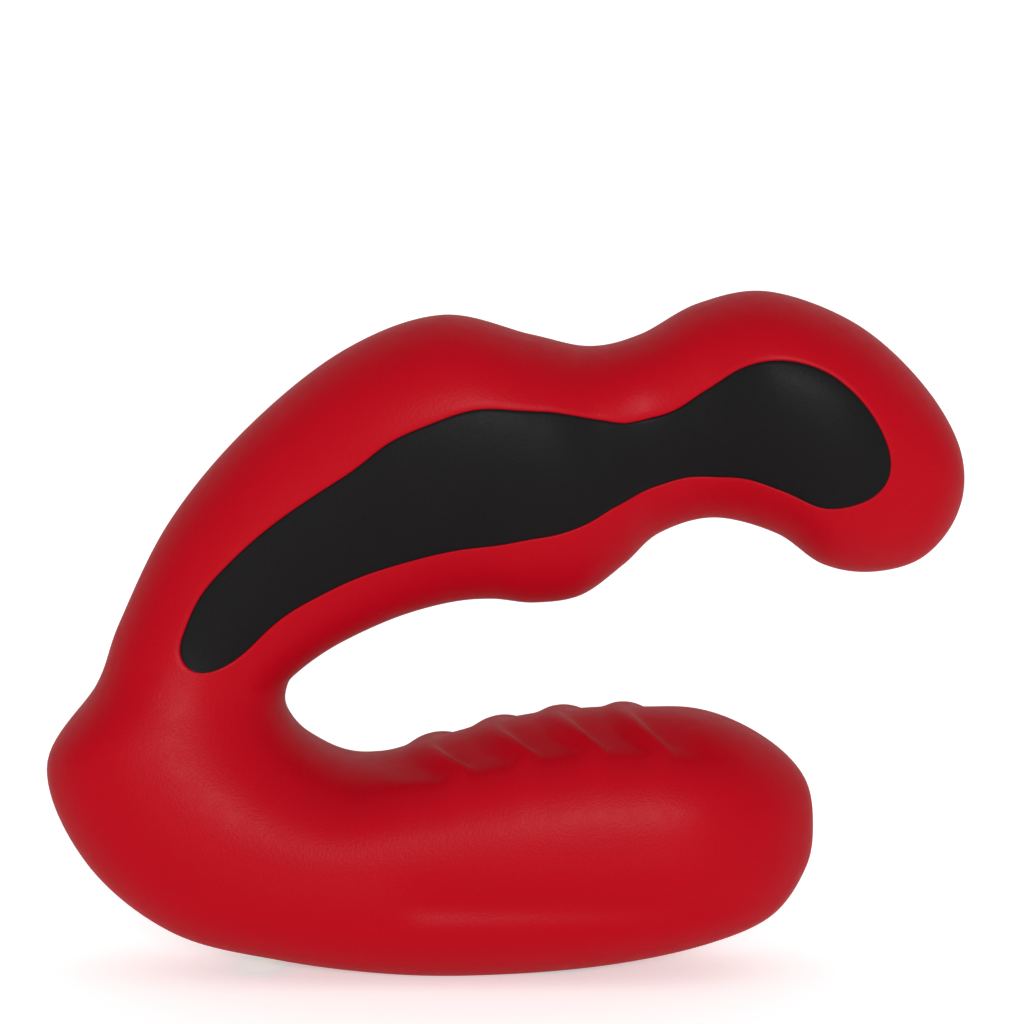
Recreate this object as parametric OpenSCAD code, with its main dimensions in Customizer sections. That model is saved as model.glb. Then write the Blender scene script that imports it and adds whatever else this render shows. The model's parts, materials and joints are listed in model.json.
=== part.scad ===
// Soft two-motor massager: a broad lower arm, a bending neck and a curved upper arm.
// Millimetres, +Z up. +X points to the free ends of both arms, Y runs across the arms.
// The lower arm lies on a small flat. The silicone skin covers a sealed housing below,
// a soft core in the neck, and a core tube and motor capsule above.

/* [Overall] */
// Length from the heel to the far side of the head
overall_l = 118; // [112:0.5:124]
// Width of the lower arm
base_w = 36; // [32:0.5:40]
// Width of the upper arm at the head
arm_w = 30; // [28:0.5:34]

/* [Skin details] */
// Depth of the grooves between the soft ridges on top of the lower arm
ridge_h = 1.8; // [0:0.1:2]
// Distance between ridges
ridge_pitch = 8.5; // [7:0.5:10]
// Width of one ridge
ridge_w = 3.2; // [2:0.2:5]
// Number of ridges
ridges = 4; // [0:1:5]
// Depth of the long hollow in each side of the lower arm
side_hollow = 1; // [0:0.1:1.5]
// Thickness of the inlay bands
inlay_t = 1.6; // [1:0.1:2.5]

/* [Housing] */
// Wall of the plastic housing
housing_wall = 1.5; // [1.2:0.1:1.8]
// Radius of the housing at the heel end
heel_r = 9; // [8.5:0.1:9.5]
// Radius of the housing at the free end
front_r = 11.5; // [11:0.1:12]
// Radius of the motor capsule in the head
capsule_r = 9.5; // [9:0.1:10]

/* [Cell and board] */
// Length of the battery cell
cell_l = 30; // [24:1:30]
// Width of the battery cell
cell_w = 12; // [9:0.5:12]
// Thickness of the battery cell
cell_t = 6.5; // [4:0.5:6.5]
// Length of the circuit board
board_l = 31; // [26:0.5:31]
// Width of the circuit board
board_w = 11.6; // [9:0.2:11.6]

/* [Motors] */
// Diameter of both motor cans
motor_d = 12; // [10:0.5:12]
// Diameter of the motor shafts
shaft_d = 1.5; // [1:0.1:2]
// Radius of the eccentric weights
weight_r = 5; // [3.5:0.1:5.2]

/* [Controls] */
// Diameter of the power button
button_d = 9; // [7:0.5:10]
// Press travel of the power button
button_travel = 0.35; // [0.2:0.05:0.5]
// Diameter of the charging contacts
contact_d = 2.8; // [2:0.2:3]

/* [Neck] */
// Radius of the core that runs through neck and upper arm
core_r = 4.2; // [3.5:0.1:4.8]

/* [Hidden] */

$fn = 48;
gap = 0.1;
k = overall_l / 118;
kb = base_w / 36;
ka = arm_w / 30;

// Cross-sections from the tip of the lower arm, round the bend, to the tip of the head:
// inner edge x and z, outer edge x and z, half width, squareness (2 is an ellipse)
ribs = [
  [40, 18.5, 40, 18.5, 0, 2.3],
  [39, 24.5, 39, 13, 7, 2.4],
  [34, 29.5, 34.5, 7, 13, 2.5],
  [26, 33, 26, 3.5, 17, 2.6],
  [15, 34, 14, 1, 18, 2.7],
  [3, 33, 0, -0.3, 18, 2.7],
  [-9, 30, -14, -0.3, 17.5, 2.7],
  [-18.5, 27.5, -29, 1.5, 17, 2.6],
  [-25, 30, -43, 5, 16, 2.5],
  [-28, 33.5, -54, 14, 15, 2.4],
  [-28, 36.5, -59, 26.5, 13.5, 2.3],
  [-26.5, 38.5, -52.5, 37, 12, 2.2],
  [-21.5, 42, -49.5, 45, 11.5, 2.2],
  [-14, 45.5, -43, 58, 12, 2.2],
  [-7, 47.5, -33, 70, 13, 2.2],
  [-1.5, 48, -20.5, 80, 14.5, 2.2],
  [4, 47.5, -8, 84.5, 15, 2.2],
  [10, 48.5, 3.5, 82, 14.5, 2.2],
  [15.5, 52.5, 11, 80.5, 13, 2.2],
  [20, 56.5, 17.5, 82, 12, 2.2],
  [27, 58.5, 25, 86, 13, 2.2],
  [35, 56.5, 34, 87.5, 15, 2.2],
  [41, 52.5, 45, 83.5, 15, 2.2],
  [47.5, 51.5, 53.5, 76, 12.5, 2.2],
  [54, 53.5, 58.5, 67.5, 8.5, 2.2],
  [58.5, 59.5, 58.5, 59.5, 0, 2.2]
];
last = len(ribs) - 1;

// Edges of the inlay band as shares of the way from the inner to the outer edge, one
// pair for every half rib from band_first on. The ends of the band are rounded off.
band_first = 11;
band_edges = [
  [0.35, 0.6], [0.36, 0.65], [0.37, 0.69], [0.36, 0.72], [0.32, 0.7], [0.29, 0.68],
  [0.26, 0.66], [0.24, 0.65], [0.23, 0.67], [0.23, 0.68], [0.24, 0.7], [0.26, 0.72],
  [0.28, 0.74], [0.29, 0.73], [0.3, 0.7], [0.29, 0.65], [0.27, 0.62], [0.25, 0.6],
  [0.22, 0.64], [0.22, 0.71], [0.21, 0.75], [0.22, 0.77], [0.25, 0.76], [0.27, 0.75],
  [0.28, 0.75]
];
band_from = 11.38;
band_to = 22.7;
tail_round = 0.7;
head_round = 1.1;

// Ridges: where the ends of the first one lie, how far they curve and how far out they reach
ridge_first = -7.3;
ridge_bend = 3.6;
ridge_reach = 10.5;

// Places where rings of the skin are laid
neck_from = 9.5;
neck_to = 11;
base_at = concat(
  [0, 0.25, 0.5, 0.75, 1, 1.4, 1.8, 2.2, 2.6, 3, 3.3],
  [for (i = [0:25]) 3.5 + i * 0.12],
  [6.8, 7.2, 7.6, 8, 8.5, 9, neck_from]
);
neck_at = [neck_from, 9.8, 10.1, 10.4, 10.7, neck_to];
end_steps = [0, 0.03, 0.1, 0.22, 0.38, 0.6, 0.8, 1];
arm_at = concat(
  [neck_to],
  [for (e = end_steps) band_from + tail_round * e],
  [for (i = [1:38]) 12 + i * 0.25],
  [for (i = [7:-1:0]) band_to - head_round * end_steps[i]],
  [23.1, 23.4, 23.7, 24, 24.25, 24.5, 24.75, 25]
);
core_at = [for (i = [0:18]) neck_to + i * 0.45];
steps_out = 6;
steps_band = 7;
steps_in = 7;
half_n = steps_out + steps_band + steps_in;
ring_n = 2 * half_n;

// Housing of the lower arm: axis runs along local X, local Z is up
housing_at = [-6, 0, 15.9];
housing_tilt = -3.4;
heel_s = -28;
front_s = 29;
// Motor capsule of the head
capsule_at = [35.5, 0, 69];
capsule_tilt = 12.6;
capsule_back = -8.5;
capsule_front = 9;
capsule_split = -7;
capsule_wall = 1.4;
// Spigot that carries the neck core
spigot_tilt = -33.2;
spigot_l = 15.7;
lead_bore = 1.8;
lead_r = 0.55;
lead_y = 0.8;
lead_bend = [22, 70.2];
lead_end = [25.2, 71];
// Charging pad and control places
pad_at = [-31.5, 0, 2];
pad_tilt = 9;
pad_l = 14;
pad_w = 6.5;
button_s = 11;
light_s = 1;
dimple_z = -15.4;
screw_places = [[-20, 4.9], [-20, -4.9], [16.6, 6], [16.6, -6]];
board_z = -4.6;
plunger_low = 3.4;
plunger_top = 1.05;
cell_z = -2.2;
motor_r = motor_d / 2;
motor_s = 19.8;
motor_l = 12;
head_motor_t = -9;
head_motor_l = 14;

// ---- Shape of the skin ----

function spow(v, p) = sign(v) * pow(abs(v), p);
function swapped(r) = [r[2], r[3], r[0], r[1], -r[4], r[5]];
function rib(i) = i < 0 ? swapped(ribs[1]) : i > last ? swapped(ribs[last - 1]) : ribs[i];
function blend4(a, b, c, d, t) =
  0.5 * (2 * b + (c - a) * t + (2 * a - 5 * b + 4 * c - d) * t * t
  + (3 * b - a - 3 * c + d) * t * t * t);
function width_k(u) = u < 9.5 ? kb : u > 12 ? ka : kb + (ka - kb) * (u - 9.5) / 2.5;
// Cross-section at any place between the ribs
function section(u) =
  let (i = min(floor(u), last - 1))
  let (r = blend4(rib(i - 1), rib(i), rib(i + 1), rib(i + 2), u - i))
  [r[0] * k, r[1] * k, r[2] * k, r[3] * k, r[4] * width_k(u), r[5]];
function middle(u) = let (r = section(u)) [(r[0] + r[2]) / 2, (r[1] + r[3]) / 2];

// How far the band has opened: nearly closed at its ends, 1 in between, and 1 again
// for the plain skin well past the ends
function round_end(d, e) = d >= e ? 1 : max(sqrt(1 - pow(1 - d / e, 2)), 0.1);
function band_open(u) =
  u < band_from ? min(0.1 + band_from - u, 1)
  : u > band_to ? min(0.1 + (u - band_to) / 1.5, 1)
  : min(round_end(u - band_from, tail_round), round_end(band_to - u, head_round));
function band_pair(i) = band_edges[min(max(i, 0), len(band_edges) - 1)];
// Shares at which the band begins and ends at any place between the ribs
function band_shares(u) =
  let (q = min(max((u - band_first) * 2, 0), len(band_edges) - 1), i = floor(q))
  let (e = blend4(band_pair(i - 1), band_pair(i), band_pair(i + 1), band_pair(i + 2), q - i))
  let (mid = (e[0] + e[1]) / 2, half = (e[1] - e[0]) / 2 * band_open(u))
  [mid - half, mid + half];
function angle_of(share, u) =
  let (k = skew(u), c = (1 - sqrt(1 - 4 * k * (2 * share - 1 - k))) / (2 * k))
  acos(spow(c, section(u)[5] / 2));

// Angles of one side of a ring, 0 at the outer edge and 180 at the inner edge
function side_angles(u) =
  let (shares = band_shares(u))
  let (hi = angle_of(shares[1], u))
  let (lo = angle_of(shares[0], u))
  concat(
    [for (i = [0:steps_out - 1]) hi * i / steps_out],
    [for (i = [0:steps_band - 1]) hi + (lo - hi) * i / steps_band],
    [for (i = [0:steps_in]) lo + (180 - lo) * i / steps_in]
  );
function ring_angles(u) =
  let (a = side_angles(u))
  concat([for (i = [0:half_n]) a[i]], [for (i = [1:half_n - 1]) 360 - a[half_n - i]]);

// Depth of the grooves between the ridges, at a point on top of the lower arm. The ridges
// curve back towards the neck at the middle; the grooves are deepest at the shoulders.
function rise(v) = 1 / (1 + exp(-v));
function groove_at(x, y) =
  let (out = min(pow(y / ridge_reach, 2), 1.4), line = x + ridge_bend * (1 - out))
  let (tops = [for (i = [0:ridges - 1])
    exp(-pow(abs(line - ridge_first - i * ridge_pitch) * 2 / ridge_w, 3))])
  let (end = ridge_first + (ridges - 1) * ridge_pitch)
  let (zone = rise((line - ridge_first + 6) / 1.4) * rise((end + 6 - line) / 1.4))
  ridges < 1 ? 0 : ridge_h * (0.2 + 0.8 * out) * zone * (1 - max(tops))
    * rise((ridge_reach + 0.3 - abs(y)) / 0.7);
// Hollow along the side of the lower arm
function hollow_at(x, z) =
  side_hollow * exp(-pow((z - 10.9) / 2.4, 2)) * rise((x + 12.5) / 1.2) * rise((29 - x) / 3);
// How far the widest place of a ring sits from its middle, towards the outer edge
function skew(u) = 0.06 + 0.15 * min(max((u - 8) / 3, 0), 1);

// One point of the skin, depth mm below the surface
function skin_point(u, a, depth) =
  let (r = section(u), p = 2 / r[5])
  let (half = norm([r[2] - r[0], r[3] - r[1]]) / 2)
  let (in_k = half > 0 ? max(half - depth, 0) / half : 0)
  let (c0 = spow(cos(a), p), s = spow(sin(a), p))
  let (c = (c0 + skew(u) * (1 - c0 * c0)) * in_k)
  let (x = (r[0] + r[2]) / 2 + (r[2] - r[0]) / 2 * c)
  let (z = (r[1] + r[3]) / 2 + (r[3] - r[1]) / 2 * c)
  let (y = -(r[4] - sign(r[4]) * min(depth, abs(r[4]))) * s)
  let (low = u < 8)
  let (dip = low && cos(a) < -0.3 ? groove_at(x, y) : 0)
  let (dent = low ? sign(y) * hollow_at(x, z) * abs(s) : 0)
  [x, y - dent, low ? max(z - dip, 0) : z];

function ring(u, depth) = [for (a = ring_angles(u)) skin_point(u, a, depth)];
// A run of rings; rings of no size at the tips become one point each
function is_tip(u) = u <= 0 || u >= last;

// Two triangles for four corners; far ones are split the other way, as in a mirror
function quad(a, b, c, d, far = false) =
  far ? [[a, b, d], [b, c, d]] : [[a, b, c], [a, c, d]];
function flat(lists) = [for (l = lists) for (v = l) v];

// Closed skin along the places in at, with pockets for the bands where asked
module skin(at, pockets) {
  n = len(at);
  outer = flat([for (u = at) ring(u, 0)]);
  inner = flat([for (u = at) ring(u, inlay_t)]);
  base = n * ring_n;
  function in_band(i, j) = pockets && at[i] >= band_from && at[i + 1] <= band_to
    && ((j >= steps_out && j < steps_out + steps_band)
    || (j >= ring_n - steps_out - steps_band && j < ring_n - steps_out));
  function id(i, j) = i * ring_n + (is_tip(at[i]) ? 0 : j % ring_n);
  function deep(i, j) = base + i * ring_n + j % ring_n;
  sides = flat([for (i = [0:n - 2]) for (j = [0:ring_n - 1])
    let (far = j >= half_n)
    in_band(i, j) ? quad(deep(i, j), deep(i, j + 1), deep(i + 1, j + 1), deep(i + 1, j), far)
    : is_tip(at[i]) ? [[id(i, 0), id(i + 1, j + 1), id(i + 1, j)]]
    : is_tip(at[i + 1]) ? [[id(i, j), id(i, j + 1), id(i + 1, 0)]]
    : quad(id(i, j), id(i, j + 1), id(i + 1, j + 1), id(i + 1, j), far)]);
  walls_long = flat([for (i = [0:n - 2]) for (j = [0:ring_n - 1])
    let (here = in_band(i, j), before = in_band(i, j == 0 ? ring_n - 1 : j - 1))
    here == before ? []
    : here ? quad(id(i, j), deep(i, j), deep(i + 1, j), id(i + 1, j))
    : quad(id(i, j), id(i + 1, j), deep(i + 1, j), deep(i, j))]);
  walls_end = flat([for (i = [1:n - 2]) for (j = [0:ring_n - 1])
    let (here = in_band(i, j), before = in_band(i - 1, j))
    let (far = j >= half_n)
    here == before ? []
    : here ? quad(id(i, j), id(i, j + 1), deep(i, j + 1), deep(i, j), far)
    : quad(id(i, j), deep(i, j), deep(i, j + 1), id(i, j + 1), far)]);
  start = is_tip(at[0]) ? [] : [[for (j = [0:ring_n - 1]) id(0, ring_n - 1 - j)]];
  end = is_tip(at[n - 1]) ? [] : [[for (j = [0:ring_n - 1]) id(n - 1, j)]];
  polyhedron(concat(outer, inner), concat(sides, walls_long, walls_end, start, end),
    convexity = 10);
}

// One inlay band; near side first, far side with mirror
module inlay_band() {
  at = [for (u = arm_at) if (u >= band_from && u <= band_to) u];
  n = len(at);
  m = steps_band + 1;
  function row(u, depth) =
    let (a = side_angles(u))
    [for (j = [0:steps_band]) skin_point(u, a[steps_out + j], depth)];
  outer = flat([for (u = at) row(u, 0)]);
  inner = flat([for (u = at) row(u, inlay_t)]);
  function id(i, j) = i * m + j;
  function deep(i, j) = n * m + i * m + j;
  faces = concat(
    flat([for (i = [0:n - 2]) for (j = [0:steps_band - 1])
      quad(id(i, j), id(i, j + 1), id(i + 1, j + 1), id(i + 1, j))]),
    flat([for (i = [0:n - 2]) for (j = [0:steps_band - 1])
      quad(deep(i, j), deep(i + 1, j), deep(i + 1, j + 1), deep(i, j + 1))]),
    flat([for (i = [0:n - 2])
      quad(id(i, 0), id(i + 1, 0), deep(i + 1, 0), deep(i, 0))]),
    flat([for (i = [0:n - 2])
      quad(id(i, m - 1), deep(i, m - 1), deep(i + 1, m - 1), id(i + 1, m - 1))]),
    flat([for (j = [0:steps_band - 1])
      quad(id(0, j), deep(0, j), deep(0, j + 1), id(0, j + 1))]),
    flat([for (j = [0:steps_band - 1])
      quad(id(n - 1, j), id(n - 1, j + 1), deep(n - 1, j + 1), deep(n - 1, j))])
  );
  polyhedron(concat(outer, inner), faces, convexity = 10);
}

// Rings of a round pipe along a list of [x, z] places at one y
function path_rings(path, y, q, sides) =
  let (n = len(path))
  [for (i = [0:n - 1])
    let (d = path[min(i + 1, n - 1)] - path[max(i - 1, 0)])
    pipe_ring(path[i], [-d[1], d[0]] / norm(d), y, q, sides)];
// Rings of a pipe along the middle of the skin, each in the plane of the skin's ring there
function core_rings(at, y, q, sides) =
  [for (u = at)
    let (r = section(u), d = [r[2] - r[0], r[3] - r[1]])
    pipe_ring(middle(u), d / norm(d), y, q, sides)];
function pipe_ring(place, out, y, q, sides) =
  [for (j = [0:sides - 1]) let (a = 360 * j / sides)
    [place[0] + out[0] * q * cos(a), y + q * sin(a), place[1] + out[1] * q * cos(a)]];

// Solid pipe over a list of rings; a second list of rings makes its bore
module pipe(rings, bore = []) {
  n = len(rings);
  sides = len(rings[0]);
  hollow = len(bore) > 0;
  function id(i, j) = i * sides + j % sides;
  function hole(i, j) = n * sides + i * sides + j % sides;
  outside = flat([for (i = [0:n - 2]) for (j = [0:sides - 1])
    quad(id(i, j), id(i, j + 1), id(i + 1, j + 1), id(i + 1, j))]);
  inside = !hollow ? [] : flat([for (i = [0:n - 2]) for (j = [0:sides - 1])
    quad(hole(i, j), hole(i + 1, j), hole(i + 1, j + 1), hole(i, j + 1))]);
  ends = !hollow
    ? [[for (j = [0:sides - 1]) id(0, sides - 1 - j)], [for (j = [0:sides - 1]) id(n - 1, j)]]
    : flat([for (j = [0:sides - 1]) concat(
        quad(id(0, j), hole(0, j), hole(0, j + 1), id(0, j + 1)),
        quad(id(n - 1, j), id(n - 1, j + 1), hole(n - 1, j + 1), hole(n - 1, j)))]);
  polyhedron(flat(concat(rings, bore)), concat(outside, inside, ends), convexity = 6);
}

// ---- Frames the pieces are placed in ----

module in_housing() translate(housing_at) rotate([0, housing_tilt, 0]) children();
module in_capsule() translate(capsule_at) rotate([0, capsule_tilt, 0]) children();
module at_pad() translate(pad_at) rotate([0, pad_tilt, 0]) children();
module along_x() rotate([0, 90, 0]) children();
module in_spigot() in_housing() translate([heel_s, 0, 0]) rotate([0, spigot_tilt - housing_tilt, 0])
  children();
// Everything past the plane where lower arm and neck meet
module past_base() {
  r = section(neck_from);
  m = middle(neck_from);
  translate([m[0], 0, m[1]]) rotate([0, atan2(r[3] - r[1], r[0] - r[2]), 0])
    translate([-20, -20, 0]) cube([40, 40, 20]);
}

// Round body with two rounded ends, grown by g
module bullet(s0, r0, s1, r1, g) along_x() rotate_extrude() polygon(concat(
  [for (a = [0:11.25:90]) [(r0 + g) * sin(a), s0 - (r0 + g) * cos(a)]],
  [for (a = [90:-11.25:0]) [(r1 + g) * sin(a), s1 + (r1 + g) * cos(a)]]
));
module housing_body(g) bullet(heel_s, heel_r, front_s, front_r, g);
module capsule_form(g) bullet(capsule_back, capsule_r, capsule_front, capsule_r, g);

// Long hole shape, length along Y
module slot(l, w, h) linear_extrude(h) union() {
  square([w, l - w], center = true);
  for (s = [-1, 1]) translate([0, s * (l - w) / 2]) circle(d = w);
}

// Everything inside the lower skin that the silicone is moulded round
module base_hollow() {
  in_housing() housing_body(0);
  in_spigot() cylinder(r = core_r, h = spigot_l + 3);
  at_pad() translate([0, 0, -3]) slot(pad_l + 2 * gap, pad_w + 2 * gap, 12);
  in_housing() {
    translate([button_s, 0, -20]) cylinder(d = button_d + 0.8, h = 12);
    translate([button_s, 0, -20]) cylinder(d = button_d + 4, h = 20 + dimple_z);
    translate([light_s, 0, -20]) cylinder(d = 2.2, h = 12);
  }
}

module base_skin() color("#B0151F") difference() {
  skin(base_at, false);
  base_hollow();
}

// Bore for a core along these places, running on a little at both ends
module core_bore(at) pipe(core_rings(
  concat([at[0] - 0.15], at, [at[len(at) - 1] + 0.15]), 0, core_r, 16));

module neck_skin() color("#AA141E") difference() {
  skin(neck_at, false);
  core_bore(neck_at);
}

module arm_skin() color("#B0151F") difference() {
  skin(arm_at, true);
  core_bore(core_at);
  in_capsule() capsule_form(0);
}

module inlay_near() color("#211E1F") inlay_band();
module inlay_far() color("#211E1F") mirror([0, 1, 0]) inlay_band();

// ---- Housing of the lower arm ----

module screw_posts(from, to, d) for (p = screw_places)
  translate([p[0], p[1], from]) cylinder(d = d, h = to - from, $fn = 24);

// Rings inside the housing that hold the motor sleeve
module cradle() for (s = [22, 28.5]) translate([s, 0, 0]) along_x() difference() {
  cylinder(r = front_r - housing_wall / 2, h = 1.6);
  translate([0, 0, -1]) cylinder(r = motor_r + 1.25, h = 4);
}

module shell_half(up) intersection() {
  union() {
    difference() {
      housing_body(0);
      housing_body(-housing_wall);
    }
    intersection() {
      housing_body(-housing_wall / 2);
      union() {
        screw_posts(up ? 0 : -12, up ? 12 : 0, 4);
        cradle();
      }
    }
  }
  translate([-50, -20, up ? 0 : -40]) cube([100, 40, 40]);
}

module seal_ring(grow, h) linear_extrude(h) difference() {
  seal_outline(-0.45 + grow);
  seal_outline(-1.05 - grow);
}
module seal_outline(g) polygon(concat(
  [for (a = [90:11.25:270]) [heel_s + (heel_r + g) * cos(a), (heel_r + g) * sin(a)]],
  [for (a = [270:11.25:450]) [front_s + (front_r + g) * cos(a), (front_r + g) * sin(a)]]
));

module base_shell_lower() color("#2B2B2E") difference() {
  union() {
    in_housing() shell_half(false);
    difference() {
      at_pad() translate([0, 0, 0.5]) slot(pad_l, pad_w, 6);
      in_housing() housing_body(-housing_wall);
    }
  }
  in_housing() {
    translate([0, 0, -0.6]) seal_ring(0.03, 1);
    translate([0, 0, -1]) screw_posts(-5.5, 2, 1.8);
    screw_posts(-15, -5, 3.2);
    translate([button_s, 0, -12]) cylinder(d = 3.6, h = 6, $fn = 24);
    translate([light_s, 0, -12]) cylinder(d = 2.2, h = 6, $fn = 24);
  }
  at_pad() for (s = [-1, 1]) {
    translate([0, s * 2.3, -1]) cylinder(d = contact_d + 0.1, h = 3.4, $fn = 24);
    translate([0, s * 2.3, 0]) cylinder(d = 1.3, h = 9, $fn = 24);
    translate([0, s * 5.2, 1.2]) cylinder(d = 2.7, h = 1.9, $fn = 24);
  }
}

module base_shell_upper() color("#2B2B2E") difference() {
  union() {
    in_housing() shell_half(true);
    difference() {
      in_spigot() translate([0, 0, 4]) cylinder(r = core_r, h = spigot_l);
      in_housing() housing_body(-housing_wall);
    }
  }
  in_spigot() cylinder(r = lead_bore, h = spigot_l + 3, $fn = 24);
  in_housing() screw_posts(-1, 5.2, 1.7);
  past_base();
}

module shell_screws() color("#B8BBC0") in_housing() for (p = screw_places)
  translate([p[0], p[1], 0]) {
    translate([0, 0, -6]) cylinder(d = 1.6, h = 11, $fn = 24);
    difference() {
      translate([0, 0, -6.6]) cylinder(d = 3, h = 0.9, $fn = 24);
      translate([0, 0, -7]) cylinder(d = 1.2, h = 0.8, $fn = 6);
    }
  }

module shell_seal() color("#6E7378") in_housing() translate([0, 0, -0.6]) seal_ring(0, 0.6);

// ---- Cell, board and controls ----

module battery_cell() color("#9AA3AD") in_housing()
  translate([-16, 0, cell_z + cell_t / 2]) along_x() linear_extrude(cell_l) offset(r = 1.2)
    square([cell_t - 2.4, cell_w - 2.4], center = true);

module battery_tabs() color("#C9CCD1") in_housing() for (s = [-1, 1])
  translate([-17.2, s * 2.5 - 1, cell_z + 1]) cube([1.2, 2, 0.4]);

module battery_pad() color("#33363A") in_housing()
  translate([-13, -3.4, cell_z + cell_t]) cube([24, 6.8, 2.6]);

module circuit_board() color("#1E5B3A") in_housing() difference() {
  translate([-17, -board_w / 2, board_z]) cube([board_l, board_w, 1]);
  for (s = [-1, 1]) translate([-15.5, s * 4.4, board_z - 1]) cylinder(d = 1.2, h = 3, $fn = 16);
}

module board_chips() color("#17181A") in_housing() {
  translate([-8, -2.5, board_z + 1]) cube([5, 5, 0.9]);
  translate([2, -2, board_z + 1]) cube([3, 4, 1]);
  translate([-13, 1.5, board_z + 1]) cube([2, 1.2, 0.7]);
  translate([-13, -2.7, board_z + 1]) cube([2, 1.2, 0.7]);
  translate([8, 2, board_z + 1]) cube([2, 1.2, 0.7]);
}

module switch_body() color("#3A3D42") in_housing() difference() {
  translate([button_s - 2.6, -2.6, board_z - 2]) cube([5.2, 5.2, 2]);
  translate([button_s, 0, board_z - 3])
    cylinder(d = 2.8, h = 3 - plunger_top + button_travel + gap, $fn = 24);
}

module switch_plunger() color("#D8D2C4") in_housing()
  translate([button_s, 0, board_z - plunger_low])
    cylinder(d = 2.2, h = plunger_low - plunger_top, $fn = 24);

module power_button() color("#26262A") in_housing() translate([button_s, 0, 0]) {
  translate([0, 0, -13]) cylinder(d = 3, h = 13 + board_z - plunger_low - 0.02, $fn = 24);
  rotate_extrude() polygon([
    [0, -12.9], [button_d / 2, -12.9], [button_d / 2, dimple_z + 0.25],
    [button_d / 2 - 0.35, dimple_z], [button_d / 2 - 1.5, dimple_z - 0.3],
    [button_d / 4, dimple_z - 0.45], [0, dimple_z - 0.5]
  ]);
}

module indicator_led() color("#E9E4C8") in_housing()
  translate([light_s - 0.8, -0.5, board_z - 0.7]) cube([1.6, 1, 0.7]);

module light_guide() color("#DADFE3") in_housing()
  translate([light_s, 0, -15.5]) cylinder(d = 2, h = 15.5 + board_z - 0.75, $fn = 24);

module charge_contacts() color("#D9B45A") at_pad() for (s = [-1, 1]) translate([0, s * 2.3, 0]) {
  translate([0, 0, 0.4]) cylinder(d = contact_d, h = 1.9, $fn = 24);
  translate([0, 0, 2]) cylinder(d = 1.2, h = 5, $fn = 24);
}

module charge_magnets() color("#A9ADB2") at_pad() for (s = [-1, 1])
  translate([0, s * 5.2, 1.25]) cylinder(d = 2.6, h = 1.8, $fn = 24);

// ---- Motors, built along X with the can starting at s ----

module motor_can(s, l) translate([s, 0, 0]) along_x() difference() {
  cylinder(r = motor_r, h = l);
  translate([0, 0, -1]) cylinder(r = motor_r - 0.6, h = l);
  translate([0, 0, -1]) cylinder(d = shaft_d + 0.6, h = l + 3, $fn = 24);
}
module motor_cap(s) translate([s - 1, 0, 0]) along_x() difference() {
  union() {
    cylinder(r = motor_r - 1, h = 1);
    translate([0, 0, 1]) cylinder(r = motor_r - 0.7, h = 1.5);
  }
  translate([0, 0, 1.2]) cylinder(d = shaft_d + 0.6, h = 3, $fn = 24);
}
module motor_shaft(s, l, out) translate([s + 0.5, 0, 0]) along_x() {
  cylinder(d = shaft_d, h = l - 0.5 + out, $fn = 24);
  translate([0, 0, 2]) cylinder(r = motor_r - 1.6, h = l - 4.5);
}
module motor_weight(s, l) translate([s, 0, 0]) along_x() difference() {
  union() {
    cylinder(d = 4, h = l, $fn = 24);
    difference() {
      cylinder(r = weight_r, h = l);
      translate([-20, -10, -1]) cube([20, 20, l + 2]);
    }
  }
  translate([0, 0, -1]) cylinder(d = shaft_d, h = l + 2, $fn = 24);
}
module motor_sleeve(s, l, r) translate([s, 0, 0]) along_x() difference() {
  cylinder(r = r, h = l);
  translate([0, 0, -1]) cylinder(r = motor_r, h = l + 2);
}

module base_motor_can() color("#B9BDC3") in_housing() motor_can(motor_s, motor_l);
module base_motor_cap() color("#E4E1D8") in_housing() motor_cap(motor_s);
module base_motor_shaft() color("#D3D6DA") in_housing() motor_shaft(motor_s, motor_l, 5);
module base_motor_weight() color("#8E9299") in_housing()
  motor_weight(motor_s + motor_l + 1, 3.8);
module base_motor_sleeve() color("#3B3E42") in_housing()
  motor_sleeve(motor_s + 1.4, motor_l - 2, motor_r + 1.2);

module head_motor_can() color("#B9BDC3") in_capsule() motor_can(head_motor_t, head_motor_l);
module head_motor_cap() color("#E4E1D8") in_capsule() motor_cap(head_motor_t);
module head_motor_shaft() color("#D3D6DA") in_capsule()
  motor_shaft(head_motor_t, head_motor_l, 7);
module head_motor_weight() color("#8E9299") in_capsule()
  motor_weight(head_motor_t + head_motor_l + 1.5, 5);
module head_motor_sleeve() color("#3B3E42") in_capsule()
  motor_sleeve(-6, 9, capsule_r - capsule_wall);

// ---- Cores, capsule and leads ----

module neck_core() color("#5B5F66")
  pipe(core_rings(neck_at, 0, core_r, 16), core_rings(neck_at, 0, lead_bore, 16));

module arm_core() color("#3C4046") difference() {
  pipe(core_rings(core_at, 0, core_r, 16), core_rings(core_at, 0, lead_bore, 16));
  in_capsule() capsule_form(0.02);
}

module capsule_shell() difference() {
  capsule_form(0);
  capsule_form(-capsule_wall);
}

module capsule_body() color("#2B2B2E") in_capsule() difference() {
  capsule_shell();
  translate([capsule_split - 40, -20, -20]) cube([40, 40, 40]);
  translate([capsule_split - 1, 0, 0]) along_x() difference() {
    cylinder(r = capsule_r - 0.3, h = 1.6);
    translate([0, 0, -1]) cylinder(r = capsule_r - 1, h = 4);
  }
}

module capsule_cap() color("#34353A") difference() {
  in_capsule() difference() {
    capsule_shell();
    translate([capsule_split, -20, -20]) cube([40, 40, 40]);
  }
  pipe(path_rings([middle(18.2), middle(18.6), middle(19), lead_bend, lead_end], 0, lead_bore, 16));
}

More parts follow.
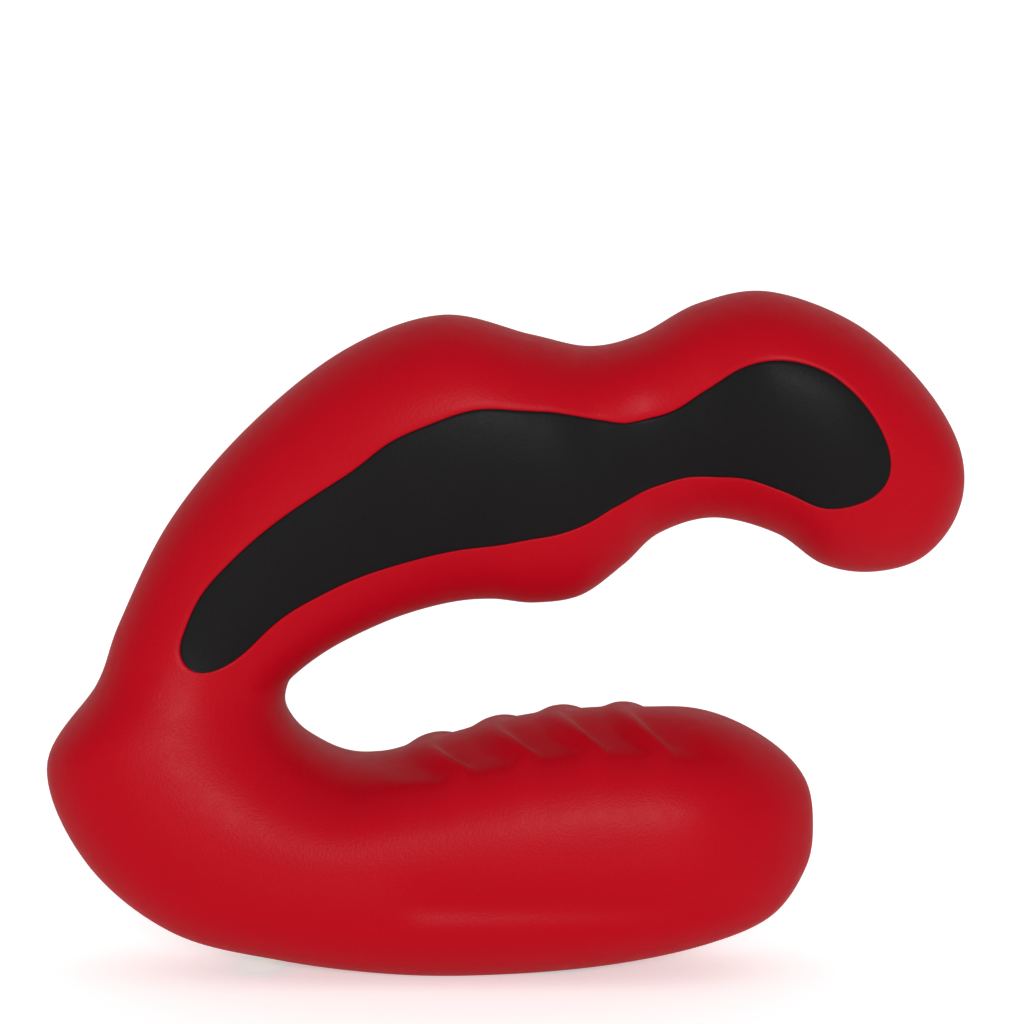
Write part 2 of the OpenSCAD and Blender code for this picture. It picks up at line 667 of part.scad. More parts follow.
module capsule_seal() color("#6E7378") in_capsule() translate([capsule_split, 0, 0]) along_x()
  difference() {
    cylinder(r = capsule_r - 0.3, h = 0.6);
    translate([0, 0, -1]) cylinder(r = capsule_r - 1, h = 3);
  }

function from_housing(s, z) = [
  housing_at[0] + s * cos(housing_tilt) + z * sin(housing_tilt),
  housing_at[2] - s * sin(housing_tilt) + z * cos(housing_tilt)
];
function along_spigot(l) =
  from_housing(heel_s, 0) + l * [sin(spigot_tilt), cos(spigot_tilt)];

module base_leads() color("#B9442F") for (s = [-1, 1]) {
  pipe(concat(
    path_rings([from_housing(-14.5, board_z + 1.7), from_housing(-18, board_z + 2),
      from_housing(-23, 0), along_spigot(7), along_spigot(10), along_spigot(13)],
      s * lead_y, lead_r, 8),
    core_rings([neck_from], s * lead_y, lead_r, 8)));
  pipe(path_rings([from_housing(12.5, board_z + 1.7), from_housing(15, board_z + 1.9),
    from_housing(17, -2), from_housing(motor_s - 1, -1.8)], s * 1.2, 0.5, 8));
}

module neck_leads() color("#B9442F") for (s = [-1, 1])
  pipe(core_rings(neck_at, s * lead_y, lead_r, 8));

module arm_leads() color("#B9442F") for (s = [-1, 1])
  pipe(concat(core_rings([for (u = core_at) if (u < 18.9) u], s * lead_y, lead_r, 8),
    path_rings([lead_bend, lead_end], s * lead_y, lead_r, 8)));

base_skin();
neck_skin();
arm_skin();
inlay_near();
inlay_far();
base_shell_lower();
base_shell_upper();
shell_screws();
shell_seal();
battery_cell();
battery_tabs();
battery_pad();
circuit_board();
board_chips();
switch_body();
switch_plunger();
power_button();
indicator_led();
light_guide();
charge_contacts();
charge_magnets();
base_motor_can();
base_motor_cap();
base_motor_shaft();
base_motor_weight();
base_motor_sleeve();
base_leads();
neck_core();
neck_leads();
arm_core();
capsule_body();
capsule_cap();
capsule_seal();
head_motor_can();
head_motor_cap();
head_motor_shaft();
head_motor_weight();
head_motor_sleeve();
arm_leads();
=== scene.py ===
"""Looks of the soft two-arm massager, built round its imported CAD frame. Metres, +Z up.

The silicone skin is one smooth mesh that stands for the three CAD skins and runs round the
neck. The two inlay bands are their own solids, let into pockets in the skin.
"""

import json
import math

import bmesh
import bpy
import numpy as np
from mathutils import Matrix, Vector


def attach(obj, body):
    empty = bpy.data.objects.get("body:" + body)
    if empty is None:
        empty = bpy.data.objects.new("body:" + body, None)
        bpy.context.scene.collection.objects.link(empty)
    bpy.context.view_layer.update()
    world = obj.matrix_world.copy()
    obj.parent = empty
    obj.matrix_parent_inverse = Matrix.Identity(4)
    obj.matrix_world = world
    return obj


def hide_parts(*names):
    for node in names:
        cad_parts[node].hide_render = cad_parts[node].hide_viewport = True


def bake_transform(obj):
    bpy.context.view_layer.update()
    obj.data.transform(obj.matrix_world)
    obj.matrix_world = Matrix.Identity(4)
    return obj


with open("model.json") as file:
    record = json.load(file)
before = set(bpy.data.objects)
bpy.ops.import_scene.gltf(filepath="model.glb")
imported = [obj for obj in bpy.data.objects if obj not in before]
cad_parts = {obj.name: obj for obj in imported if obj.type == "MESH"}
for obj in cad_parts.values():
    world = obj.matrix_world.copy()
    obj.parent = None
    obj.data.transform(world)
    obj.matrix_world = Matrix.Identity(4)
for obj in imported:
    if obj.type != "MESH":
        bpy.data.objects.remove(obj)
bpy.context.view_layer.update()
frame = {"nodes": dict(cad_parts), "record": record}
nodes = frame["nodes"]

MM = 0.001

# ---- Shape of the skin, the same rules as the CAD skins, in millimetres ----
# Only the grooves between the ridges differ: they reach further out, with softer shoulders.

# Cross-sections from the tip of the lower arm, round the bend, to the tip of the head:
# inner edge x and z, outer edge x and z, half width, squareness
RIBS = np.array([
    [40, 18.5, 40, 18.5, 0, 2.3],
    [39, 24.5, 39, 13, 7, 2.4],
    [34, 29.5, 34.5, 7, 13, 2.5],
    [26, 33, 26, 3.5, 17, 2.6],
    [15, 34, 14, 1, 18, 2.7],
    [3, 33, 0, -0.3, 18, 2.7],
    [-9, 30, -14, -0.3, 17.5, 2.7],
    [-18.5, 27.5, -29, 1.5, 17, 2.6],
    [-25, 30, -43, 5, 16, 2.5],
    [-28, 33.5, -54, 14, 15, 2.4],
    [-28, 36.5, -59, 26.5, 13.5, 2.3],
    [-26.5, 38.5, -52.5, 37, 12, 2.2],
    [-21.5, 42, -49.5, 45, 11.5, 2.2],
    [-14, 45.5, -43, 58, 12, 2.2],
    [-7, 47.5, -33, 70, 13, 2.2],
    [-1.5, 48, -20.5, 80, 14.5, 2.2],
    [4, 47.5, -8, 84.5, 15, 2.2],
    [10, 48.5, 3.5, 82, 14.5, 2.2],
    [15.5, 52.5, 11, 80.5, 13, 2.2],
    [20, 56.5, 17.5, 82, 12, 2.2],
    [27, 58.5, 25, 86, 13, 2.2],
    [35, 56.5, 34, 87.5, 15, 2.2],
    [41, 52.5, 45, 83.5, 15, 2.2],
    [47.5, 51.5, 53.5, 76, 12.5, 2.2],
    [54, 53.5, 58.5, 67.5, 8.5, 2.2],
    [58.5, 59.5, 58.5, 59.5, 0, 2.2],
], float)
LAST = len(RIBS) - 1

# Edges of the inlay band, one pair for every half rib from rib 11 on
BAND_FIRST = 11.0
BAND = np.array([
    [0.35, 0.6], [0.36, 0.65], [0.37, 0.69], [0.36, 0.72], [0.32, 0.7], [0.29, 0.68],
    [0.26, 0.66], [0.24, 0.65], [0.23, 0.67], [0.23, 0.68], [0.24, 0.7], [0.26, 0.72],
    [0.28, 0.74], [0.29, 0.73], [0.3, 0.7], [0.29, 0.65], [0.27, 0.62], [0.25, 0.6],
    [0.22, 0.64], [0.22, 0.71], [0.21, 0.75], [0.22, 0.77], [0.25, 0.76], [0.27, 0.75],
    [0.28, 0.75],
])
BAND_FROM, BAND_TO = 11.38, 22.7
TAIL_ROUND, HEAD_ROUND = 0.7, 1.1
RIDGES, RIDGE_PITCH, RIDGE_H, RIDGE_W = 4, 8.5, 2.0, 3.2
RIDGE_FIRST, RIDGE_BEND, RIDGE_REACH = -7.3, 3.6, 10.5
SIDE_HOLLOW = 1.0
POCKET, LIP = 1.3, 0.09
LOW_END = 8  # the ridges and side hollows lie before this rib


def swapped(r):
    return np.array([r[2], r[3], r[0], r[1], -r[4], r[5]])


PADDED = np.vstack([swapped(RIBS[1]), RIBS, swapped(RIBS[-2])])


def curve(rows, q):
    """Smooth curve through rows[1:-1], q counted from rows[1]."""
    i = int(min(max(math.floor(q), 0), len(rows) - 4))
    a, b, c, d = rows[i:i + 4]
    t = q - i
    return 0.5 * (2 * b + (c - a) * t + (2 * a - 5 * b + 4 * c - d) * t**2
                  + (3 * b - a - 3 * c + d) * t**3)


def section(u):
    return curve(PADDED, u)


BAND_ROWS = np.vstack([BAND[0], BAND, BAND[-1]])


def band_open(u):
    """Share of its full width that the band has at u. Past its ends the grid lines spread again."""
    if u < BAND_FROM:
        return min(0.015 + 0.9 * (BAND_FROM - u), 1)
    if u > BAND_TO:
        return min(0.015 + 0.7 * (u - BAND_TO), 1)
    ends = []
    for d, e in ((u - BAND_FROM, TAIL_ROUND), (BAND_TO - u, HEAD_ROUND)):
        ends.append(1 if d >= e else max(math.sqrt(max(1 - (1 - d / e) ** 2, 0)), 0.015))
    return min(ends)


def band_shares(u):
    q = min(max((u - BAND_FIRST) * 2, 0), len(BAND) - 1)
    lo, hi = curve(BAND_ROWS, q)
    mid, half = (lo + hi) / 2, (hi - lo) / 2 * band_open(u)
    return mid - half, mid + half


def spow(v, p):
    return np.sign(v) * np.abs(v) ** p


def skew(u):
    """How far the widest place of a ring sits from its middle, towards the outer edge."""
    return 0.06 + 0.15 * min(max((u - 8) / 3, 0), 1)


def points(u, angles, depth=0.0):
    """Points of the ring at u, at these angles, depth below the surface. 0 is the outer edge."""
    r = section(u)
    p = 2 / r[5]
    half = math.hypot(r[2] - r[0], r[3] - r[1]) / 2
    keep = max(half - depth, 0) / half if half > 1e-9 else 0
    c = spow(np.cos(angles), p)
    c = (c + skew(u) * (1 - c * c)) * keep
    s = spow(np.sin(angles), p)
    x = (r[0] + r[2]) / 2 + (r[2] - r[0]) / 2 * c
    z = (r[1] + r[3]) / 2 + (r[3] - r[1]) / 2 * c
    y = -(r[4] - np.sign(r[4]) * min(depth, abs(r[4]))) * s
    if u < LOW_END:
        z = z + np.where(np.cos(angles) < -0.3, ridge_height(x, y), 0)
        y = y - np.sign(y) * side_hollow(x, z) * np.abs(s)
        z = np.maximum(z, 0)
    return np.stack([x, y, z], 1)


def ridge_height(x, y):
    """The grooves between the curved ridges on top of the lower arm, deepest at the shoulders."""
    out = np.minimum((y / RIDGE_REACH) ** 2, 1.4)
    lines = x + RIDGE_BEND * (1 - out)
    tops = np.max([np.exp(-(np.abs(lines - RIDGE_FIRST - i * RIDGE_PITCH) / (RIDGE_W / 2)) ** 3)
                   for i in range(RIDGES)], 0)
    last = RIDGE_FIRST + (RIDGES - 1) * RIDGE_PITCH
    zone = 1 / (1 + np.exp((RIDGE_FIRST - 6 - lines) / 1.4)) / (1 + np.exp((lines - last - 6) / 1.4))
    side = 1 / (1 + np.exp((np.abs(y) - RIDGE_REACH - 1) / 1.5))
    return -RIDGE_H * (0.2 + 0.8 * out) * side * zone * (1 - tops)


def side_hollow(x, z):
    return (SIDE_HOLLOW * np.exp(-((z - 10.9) / 2.4) ** 2)
            / (1 + np.exp(-(x + 12.5) / 1.2)) / (1 + np.exp((x - 29) / 3)))


# ---- Grid lines round a ring ----

OUT_N, BAND_N, IN_N = 30, 40, 34
SIDE_N = OUT_N + BAND_N + IN_N
RING_N = 2 * SIDE_N


def spread(n, first, last):
    """n + 1 shares from 0 to 1, with the first and last steps set."""
    inner = np.linspace(first, 1 - last, n - 1)
    return np.concatenate([[0], inner, [1]])


def low_angles(u):
    """Grid lines of the lower arm: even steps across its top and its bottom."""
    r = section(u)
    bottom = np.arcsin((0.55 * np.linspace(0, 1, OUT_N + 1)) ** (r[5] / 2))
    top = math.pi - np.arcsin((0.7 * np.linspace(1, 0, IN_N + 1)) ** (r[5] / 2))
    side = np.linspace(bottom[-1], top[0], BAND_N + 1)
    return np.concatenate([bottom[:-1], side[:-1], top])


def side_angles(u):
    """Grid lines of one side. They turn from the lower arm's rule to the band's in the neck."""
    if u <= 8.5:
        return low_angles(u)
    t = min((u - 8.5) / 2, 1)
    t = t * t * (3 - 2 * t)
    return high_angles(u) if t == 1 else low_angles(u) * (1 - t) + high_angles(u) * t


def angle_of(share, u):
    """The angle at a share of the way from the inner to the outer edge."""
    k = skew(u)
    c = (1 - math.sqrt(1 - 4 * k * (2 * share - 1 - k))) / (2 * k)
    return math.acos(max(-1, min(1, spow(c, section(u)[5] / 2))))


def high_angles(u):
    r = section(u)
    lo, hi = band_shares(u)
    a_hi, a_lo = angle_of(hi, u), angle_of(lo, u)
    size = max(math.hypot(r[2] - r[0], r[3] - r[1]) / 2, 0.5)
    band = a_lo - a_hi
    near = 0.22 / size
    out = a_hi * spread(OUT_N, 1 / OUT_N, min(near / a_hi, 1 / OUT_N))
    mid = a_hi + band * spread(BAND_N, min(near / band, 1 / BAND_N), min(near / band, 1 / BAND_N))
    inn = a_lo + (math.pi - a_lo) * spread(IN_N, min(near / (math.pi - a_lo), 1 / IN_N), 1 / IN_N)
    return np.concatenate([out[:-1], mid[:-1], inn])


def ring_angles(u):
    a = side_angles(u)
    return np.concatenate([a, 2 * math.pi - a[1:-1][::-1]])


def places():
    """Places along the ribs where rings are laid, closer together at the ridges and band ends."""
    steps = np.array([0.015, 0.045, 0.09, 0.15, 0.22, 0.3, 0.39])
    tail = BAND_FROM + TAIL_ROUND * (1 - np.cos(np.linspace(0, math.pi / 2, 22)))
    head = BAND_TO - HEAD_ROUND * (1 - np.cos(np.linspace(math.pi / 2, 0, 26)))
    tip = 1 - np.cos(np.linspace(0, math.pi / 2, 16))
    return np.concatenate([
        0.9 * tip,
        np.arange(0.96, 3.5, 0.08),
        np.arange(3.5, 6.8, 0.035),
        np.arange(6.85, 10.95, 0.08),
        BAND_FROM - steps[::-1],
        tail,
        np.arange(tail[-1] + 0.05, head[0] - 0.03, 0.05),
        head,
        BAND_TO + steps,
        np.arange(BAND_TO + 0.47, 24.2, 0.08),
        LAST - 0.8 * tip[::-1],
    ])


AT = places()
IN_BAND = (AT >= BAND_FROM - 1e-9) & (AT <= BAND_TO + 1e-9)


def in_band_line(j):
    """True for the strips between grid lines j and j + 1 that lie in a band."""
    return OUT_N <= j < OUT_N + BAND_N or RING_N - OUT_N - BAND_N <= j < RING_N - OUT_N


def mesh_object(name, verts, faces):
    mesh = bpy.data.meshes.new(name)
    mesh.from_pydata([tuple(v) for v in verts], [], faces)
    mesh.validate()
    mesh.polygons.foreach_set("use_smooth", [True] * len(mesh.polygons))
    mesh.update()
    obj = bpy.data.objects.new(name, mesh)
    bpy.context.scene.collection.objects.link(obj)
    return obj


def make_skin():
    """The whole silicone skin as one closed mesh with a pocket for each band."""
    rings = [points(u, ring_angles(u)) for u in AT]
    deep = [points(u, ring_angles(u), POCKET) for u in AT]
    verts, faces = [], []
    index = {}

    def vert(i, j, low):
        j %= RING_N
        if AT[i] <= 0 or AT[i] >= LAST:
            j = 0
        key = (i, j, low)
        if key not in index:
            index[key] = len(verts)
            p = deep[i][j] if low else rings[i][j]
            if not low and on_lip(i, j):
                p = p + (deep[i][j] - p) * (LIP / POCKET)
            verts.append(p)
        return index[key]

    def banded(i, j):
        return IN_BAND[i] and IN_BAND[i + 1] and in_band_line(j % RING_N)

    def on_lip(i, j):
        """True on the rim of a pocket, which is rounded down a little."""
        side = min(j, RING_N - j)
        if not IN_BAND[i] or not OUT_N <= side <= OUT_N + BAND_N:
            return False
        return side in (OUT_N, OUT_N + BAND_N) or not (IN_BAND[i - 1] and IN_BAND[i + 1])

    for i in range(len(AT) - 1):
        for j in range(RING_N):
            low = bool(banded(i, j))
            quad = [vert(i, j, low), vert(i, j + 1, low), vert(i + 1, j + 1, low), vert(i + 1, j, low)]
            quad = [q for n, q in enumerate(quad) if q not in quad[:n]]
            if len(quad) > 2:
                faces.append(quad)
            before = banded(i, j - 1)
            if low and not before:
                faces.append([vert(i, j, False), vert(i, j, True), vert(i + 1, j, True), vert(i + 1, j, False)])
            if before and not low:
                faces.append([vert(i, j, True), vert(i, j, False), vert(i + 1, j, False), vert(i + 1, j, True)])
            if i:
                back = banded(i - 1, j)
                if low and not back:
                    faces.append([vert(i, j, False), vert(i, j + 1, False), vert(i, j + 1, True), vert(i, j, True)])
                if back and not low:
                    faces.append([vert(i, j, True), vert(i, j + 1, True), vert(i, j + 1, False), vert(i, j, False)])
    return mesh_object("skin", np.array(verts) * MM, faces)


def make_band(name, far):
    """One inlay band as a closed solid that fills the pocket, its edge rounded down a little."""
    at = AT[IN_BAND]
    gap = 0.05
    top, low = [], []
    for n, u in enumerate(at):
        a = side_angles(u)[OUT_N:OUT_N + BAND_N + 1].copy()
        r = section(u)
        size = max(math.hypot(r[2] - r[0], r[3] - r[1]) / 2, 0.5)
        shrink = min(gap / size, (a[-1] - a[0]) * 0.2)
        a[0] += shrink
        a[-1] -= shrink
        t, d = points(u, a), points(u, a, POCKET - 0.04)
        edge = np.zeros(len(a))
        edge[[0, -1]] = LIP
        if n in (0, len(at) - 1):
            edge[:] = LIP
        t = t + (d - t) * (edge / POCKET)[:, None]
        top.append(t)
        low.append(d)
    rows, cols = len(at), BAND_N + 1
    verts = np.concatenate([np.array(top).reshape(-1, 3), np.array(low).reshape(-1, 3)]) * MM
    if far:
        verts[:, 1] *= -1

    def up(i, j):
        return i * cols + j

    def dn(i, j):
        return rows * cols + i * cols + j

    faces = []
    for i in range(rows - 1):
        for j in range(cols - 1):
            faces.append([up(i, j), up(i, j + 1), up(i + 1, j + 1), up(i + 1, j)])
            faces.append([dn(i, j), dn(i + 1, j), dn(i + 1, j + 1), dn(i, j + 1)])
        faces.append([up(i, 0), up(i + 1, 0), dn(i + 1, 0), dn(i, 0)])
        e = cols - 1
        faces.append([up(i, e), dn(i, e), dn(i + 1, e), up(i + 1, e)])
    for j in range(cols - 1):
        faces.append([up(0, j), dn(0, j), dn(0, j + 1), up(0, j + 1)])
        e = rows - 1
        faces.append([up(e, j), up(e, j + 1), dn(e, j + 1), dn(e, j)])
    if far:
        faces = [f[::-1] for f in faces]
    return mesh_object(name, verts, faces)


# ---- Core and leads in the neck ----

NECK_FROM, NECK_TO = 9.5, 11
CORE_R, CORE_BORE, LEAD_R, LEAD_Y = 4.2, 1.8, 0.55, 0.8


def middle(u):
    r = section(u)
    return np.array([(r[0] + r[2]) / 2, 0, (r[1] + r[3]) / 2])


def neck_rings(radius, y, sides):
    """Circles along the middle of the neck, each in the plane of the skin's ring there."""
    rows = []
    for u in np.linspace(NECK_FROM + 0.004, NECK_TO - 0.004, 19):
        r = section(u)
        out = np.array([r[2] - r[0], 0, r[3] - r[1]])
        out = out / np.linalg.norm(out)
        a = np.arange(sides) * 2 * math.pi / sides
        rows.append(middle(u) + radius * np.cos(a)[:, None] * out
                    + (y + radius * np.sin(a))[:, None] * np.array([0, 1, 0]))
    return rows


def tube(verts, faces, outer, inner=None):
    """Add a closed tube over outer rings, hollow where inner rings are given."""
    sides = len(outer[0])
    rows = outer + (inner[::-1] if inner else [])
    first = len(verts)
    verts += [tuple(v) for row in rows for v in row]
    turns = len(rows) if inner else len(rows) - 1
    for i in range(turns):
        for j in range(sides):
            k, m = (j + 1) % sides, (i + 1) % len(rows)
            faces.append([first + i * sides + j, first + m * sides + j,
                          first + m * sides + k, first + i * sides + k])
    if not inner:
        faces.append([first + j for j in range(sides)])
        faces.append([first + (len(rows) - 1) * sides + j for j in reversed(range(sides))])


def make_neck_core():
    verts, faces = [], []
    tube(verts, faces, neck_rings(CORE_R - 0.02, 0, 48), neck_rings(CORE_BORE, 0, 48))
    return mesh_object("neck_core_bending", np.array(verts) * MM, faces)


def make_neck_leads():
    verts, faces = [], []
    for side in (-1, 1):
        tube(verts, faces, neck_rings(LEAD_R, side * LEAD_Y, 20))
    return mesh_object("neck_leads_bending", np.array(verts) * MM, faces)


# ---- Openings in the underside ----

# Outlines of the openings as radius and height, from outside the skin inwards
HOUSING_AT, HOUSING_TILT = (-6, 0, 15.9), -3.4
PAD_AT, PAD_TILT = (-31.5, 0, 2), 9
BUTTON_HOLE = [(9.6, -19), (8.6, -17.3), (7.6, -16.75), (7.0, -16.5), (6.7, -16.2), (6.45, -15.85),
               (6.1, -15.6), (5.6, -15.45), (5.15, -15.4), (4.95, -15.3), (4.9, -15.1), (4.9, -12)]
LIGHT_HOLE = [(3, -19), (2, -17.1), (1.5, -16.75), (1.25, -16.5), (1.12, -16.2), (1.1, -15.9),
              (1.1, -12)]
PAD_HOLE = [(5.2, -3), (4.3, -1), (3.85, -0.3), (3.6, 0), (3.45, 0.25), (3.35, 0.5), (3.35, 7)]


def cutter_mesh(rows, straight, shift, at, tilt, first):
    """Vertices and faces of one cutter, a round or long plug with a flared mouth."""
    n = 96
    t = math.radians(tilt)
    verts, faces = [], []
    for radius, z in rows:
        for a in np.arange(n) * 2 * math.pi / n:
            x = radius * math.cos(a) + shift
            y = radius * math.sin(a) + math.copysign(straight / 2, math.sin(a + 1e-6))
            verts.append((at[0] + x * math.cos(t) + z * math.sin(t), y,
                          at[2] - x * math.sin(t) + z * math.cos(t)))
    for i in range(len(rows) - 1):
        for j in range(n):
            k = (j + 1) % n
            faces.append([first + i * n + j, first + i * n + k,
                          first + (i + 1) * n + k, first + (i + 1) * n + j])
    faces.append([first + j for j in reversed(range(n))])
    faces.append([first + (len(rows) - 1) * n + j for j in range(n)])
    return verts, faces


def cut_openings(obj):
    """Cut the holes for the button, the lamp and the charging pad, with crisp inner edges."""
    verts, faces = [], []
    for rows, straight, shift, at, tilt in (
            (BUTTON_HOLE, 0, 11, HOUSING_AT, HOUSING_TILT),
            (LIGHT_HOLE, 0, 1, HOUSING_AT, HOUSING_TILT),
            (PAD_HOLE, 7.5, 0, PAD_AT, PAD_TILT)):
        v, f = cutter_mesh(rows, straight, shift, at, tilt, len(verts))
        verts += v
        faces += f
    plug = mesh_object("plug", np.array(verts) * MM, faces)
    cut = obj.modifiers.new("cut", "BOOLEAN")
    cut.operation = "DIFFERENCE"
    cut.solver = "EXACT"
    cut.object = plug
    bpy.context.view_layer.update()
    done = bpy.data.meshes.new_from_object(obj.evaluated_get(bpy.context.evaluated_depsgraph_get()))
    obj.modifiers.remove(cut)
    obj.data = done
    bpy.data.objects.remove(plug)
    grid = bmesh.new()
    grid.from_mesh(done)
    for edge in grid.edges:
        if len(edge.link_faces) == 2 and max(v.co.z for v in edge.verts) < 8 * MM:
            edge.smooth = edge.calc_face_angle() < 0.5
    grid.to_mesh(done)
    grid.free()


# ---- Materials ----

def linear(c):
    return tuple(v / 12.92 if v <= 0.04045 else ((v + 0.055) / 1.055) ** 2.4 for v in c) + (1.0,)


def material(name, color, rough, metallic=0.0, grain=0.0003, bump=0.1, mottle=0.06,
             rough_spread=0.08, specular=0.5, coat=0.0, stretch=(1, 1, 1),
             transmission=0.0, edge_rough=0.0):
    """Procedural finish: uneven tone, uneven roughness and a fine bump at the grain's size."""
    mat = bpy.data.materials.new(name)
    mat.use_nodes = True
    tree = mat.node_tree
    tree.nodes.clear()
    new = tree.nodes.new
    link = tree.links.new
    out = new("ShaderNodeOutputMaterial")
    shader = new("ShaderNodeBsdfPrincipled")
    link(shader.outputs["BSDF"], out.inputs["Surface"])
    shader.inputs["Metallic"].default_value = metallic
    shader.inputs["Specular IOR Level"].default_value = specular
    shader.inputs["Coat Weight"].default_value = coat
    shader.inputs["Transmission Weight"].default_value = transmission
    place = new("ShaderNodeTexCoord")
    shape = new("ShaderNodeMapping")
    shape.inputs["Scale"].default_value = stretch
    link(place.outputs["Object"], shape.inputs["Vector"])

    def noise(size, detail, rough_):
        n = new("ShaderNodeTexNoise")
        n.inputs["Scale"].default_value = 1 / size
        n.inputs["Detail"].default_value = detail
        n.inputs["Roughness"].default_value = rough_
        link(shape.outputs["Vector"], n.inputs["Vector"])
        return n.outputs["Fac"]

    broad = noise(0.012, 4, 0.6)
    fine = noise(grain, 3, 0.6)
    mix = new("ShaderNodeMixRGB")
    base = linear(color)
    mix.inputs["Color1"].default_value = tuple(v * (1 - mottle) for v in base[:3]) + (1,)
    mix.inputs["Color2"].default_value = tuple(min(v * (1 + mottle), 1) for v in base[:3]) + (1,)
    link(broad, mix.inputs["Fac"])
    link(mix.outputs["Color"], shader.inputs["Base Color"])
    span = new("ShaderNodeMapRange")
    span.inputs["To Min"].default_value = max(rough - rough_spread, 0.02)
    span.inputs["To Max"].default_value = min(rough + rough_spread, 1)
    link(noise(grain * 6, 3, 0.6), span.inputs["Value"])
    gloss = span.outputs["Result"]
    if edge_rough:
        # seen at a slant, the matt skin scatters what it mirrors
        slant = new("ShaderNodeLayerWeight")
        slant.inputs["Blend"].default_value = 0.5
        rise = new("ShaderNodeMapRange")
        rise.inputs["From Min"].default_value = 0.15
        rise.inputs["From Max"].default_value = 0.6
        rise.inputs["To Max"].default_value = edge_rough
        link(slant.outputs["Facing"], rise.inputs["Value"])
        both = new("ShaderNodeMath")
        both.operation = "ADD"
        both.use_clamp = True
        link(gloss, both.inputs[0])
        link(rise.outputs["Result"], both.inputs[1])
        gloss = both.outputs["Value"]
    link(gloss, shader.inputs["Roughness"])
    lift = new("ShaderNodeBump")
    lift.inputs["Strength"].default_value = bump
    lift.inputs["Distance"].default_value = grain
    link(fine, lift.inputs["Height"])
    link(lift.outputs["Normal"], shader.inputs["Normal"])
    return mat


RED = material("red_silicone", (0.61, 0.02, 0.08), 0.36, grain=0.00035, bump=0.12,
               mottle=0.04, specular=0.045, edge_rough=0.22)
BLACK = material("black_silicone", (0.08, 0.075, 0.078), 0.4, grain=0.00035, bump=0.12,
                 mottle=0.1, specular=0.04, edge_rough=0.22)
FINISHES = {
    "housing_plastic": material("housing_plastic", (0.17, 0.17, 0.18), 0.5, grain=0.0004, bump=0.2),
    "button_plastic": material("button_plastic", (0.13, 0.13, 0.14), 0.42, grain=0.0003, bump=0.1),
    "screw_steel": material("screw_steel", (0.72, 0.73, 0.75), 0.3, 1, grain=0.0002,
                            stretch=(1, 8, 8), bump=0.15),
    "seal_rubber": material("seal_rubber", (0.24, 0.25, 0.27), 0.75, grain=0.0004, bump=0.2),
    "cell_foil": material("cell_foil", (0.62, 0.65, 0.69), 0.32, 1, grain=0.0012, bump=0.25),
    "tab_nickel": material("tab_nickel", (0.78, 0.79, 0.8), 0.25, 1, grain=0.0003, bump=0.1),
    "pad_foam": material("pad_foam", (0.2, 0.21, 0.23), 0.95, grain=0.0006, bump=0.6),
    "board_green": material("board_green", (0.1, 0.34, 0.2), 0.35, grain=0.0008, bump=0.15,
                            mottle=0.15, coat=0.3),
    "chip_black": material("chip_black", (0.09, 0.09, 0.1), 0.5, grain=0.0003, bump=0.15),
    "white_plastic": material("white_plastic", (0.88, 0.86, 0.82), 0.45, grain=0.0004, bump=0.1),
    "lamp_clear": material("lamp_clear", (0.9, 0.92, 0.93), 0.18, grain=0.0008, bump=0.05,
                           transmission=0.6),
    "contact_gold": material("contact_gold", (0.92, 0.74, 0.38), 0.22, 1, grain=0.0003, bump=0.08),
    "motor_steel": material("motor_steel", (0.73, 0.74, 0.76), 0.3, 1, grain=0.0003,
                            stretch=(1, 10, 10), bump=0.2),
    "weight_metal": material("weight_metal", (0.45, 0.46, 0.48), 0.45, 1, grain=0.0004, bump=0.3),
    "lead_red": material("lead_red", (0.7, 0.24, 0.16), 0.4, grain=0.0004, bump=0.1),
    "core_soft": material("core_soft", (0.36, 0.37, 0.4), 0.7, grain=0.0005, bump=0.2),
    "core_stiff": material("core_stiff", (0.24, 0.25, 0.27), 0.5, grain=0.0005, bump=0.2),
}


def paint(obj, mat):
    obj.data.materials.clear()
    obj.data.materials.append(mat)


def smooth_by_angle(obj, degrees=35):
    """Soft shading on curved CAD faces, crisp at their edges, with the mesh left as it is."""
    obj.data.polygons.foreach_set("use_smooth", [True] * len(obj.data.polygons))
    obj.data.set_sharp_from_angle(angle=math.radians(degrees))


# ---- Pieces ----

skin = make_skin()
cut_openings(skin)
paint(skin, RED)
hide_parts("base_skin", "neck_skin", "arm_skin")
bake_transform(skin)

for side, far in (("near", False), ("far", True)):
    band = make_band("inlay_band_" + side, far)
    paint(band, BLACK)
    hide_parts("inlay_" + side)
    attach(band, "arm")

for piece, node, slot in ((make_neck_core(), "neck_core", "core_soft"),
                          (make_neck_leads(), "neck_leads", "lead_red")):
    paint(piece, FINISHES[slot])
    smooth_by_angle(piece)
    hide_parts(node)
    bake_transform(piece)

slots = {s["node"]: s["material_slot"] for s in frame["record"]["subparts"]}
for name, obj in nodes.items():
    if slots[name] in FINISHES:
        paint(obj, FINISHES[slots[name]])
    elif slots[name] == "red_silicone":
        paint(obj, RED)
    else:
        paint(obj, BLACK)
    smooth_by_angle(obj)

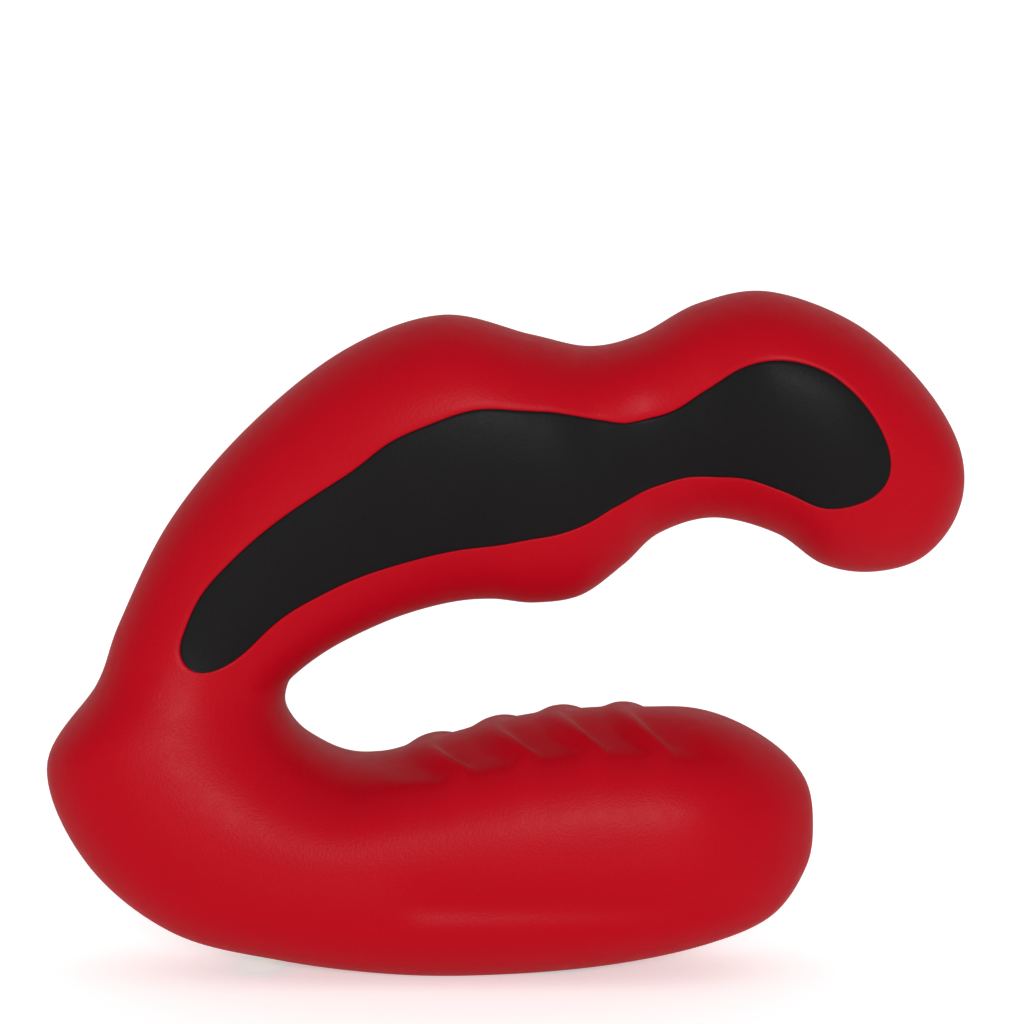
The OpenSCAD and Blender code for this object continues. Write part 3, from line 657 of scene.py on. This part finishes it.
# ---- Stage, light and camera ----


def light(name, place, aim, size, size_y, power):
    """A rectangular soft light at a place, turned towards aim."""
    data = bpy.data.lights.new(name, "AREA")
    data.shape = "RECTANGLE"
    data.size = size
    data.size_y = size_y
    data.energy = power
    obj = bpy.data.objects.new(name, data)
    obj.location = place
    obj.rotation_euler = (Vector(aim) - Vector(place)).to_track_quat("-Z", "Y").to_euler()
    bpy.context.scene.collection.objects.link(obj)


def make_floor():
    """A pale sweep: flat under the object, curving up far behind it."""
    rows = [(-3.0, 0.0), (0.9, 0.0), (1.15, 0.02), (1.35, 0.09), (1.5, 0.22), (1.6, 0.45),
            (1.65, 0.9), (1.65, 2.4)]
    verts = [(x, y, z - 0.0001) for y, z in rows for x in (-3.5, 3.5)]
    faces = [[2 * i, 2 * i + 1, 2 * i + 3, 2 * i + 2] for i in range(len(rows) - 1)]
    return mesh_object("floor", verts, faces)


floor = make_floor()
paper = material("floor_paper", (0.94, 0.94, 0.94), 0.9, grain=0.002, bump=0.02, mottle=0.004,
                 specular=0.1)
glow = paper.node_tree.nodes["Principled BSDF"]
glow.inputs["Emission Color"].default_value = (1, 1, 1, 1)
glow.inputs["Emission Strength"].default_value = 0.41
paint(floor, paper)

world = bpy.data.worlds.new("studio")
world.use_nodes = True
world.node_tree.nodes["Background"].inputs["Color"].default_value = (1, 1, 1, 1)
world.node_tree.nodes["Background"].inputs["Strength"].default_value = 0.58
bpy.context.scene.world = world
bpy.context.scene.view_settings.view_transform = "Standard"

light("front", (0.1, -1.6, 0.4), (0, 0, 0.05), 0.5, 0.2, 18)

data = bpy.data.cameras.new("camera")
data.lens = 150
data.sensor_width = 36
camera = bpy.data.objects.new("camera", data)
elevation = math.radians(6)
distance = 0.5492
target = np.array([0.00107, 0.0, 0.05914])
camera.location = target + distance * np.array([0, -math.cos(elevation), math.sin(elevation)])
camera.rotation_euler = (math.radians(90) - elevation, 0, 0)
bpy.context.scene.collection.objects.link(camera)
bpy.context.scene.camera = camera
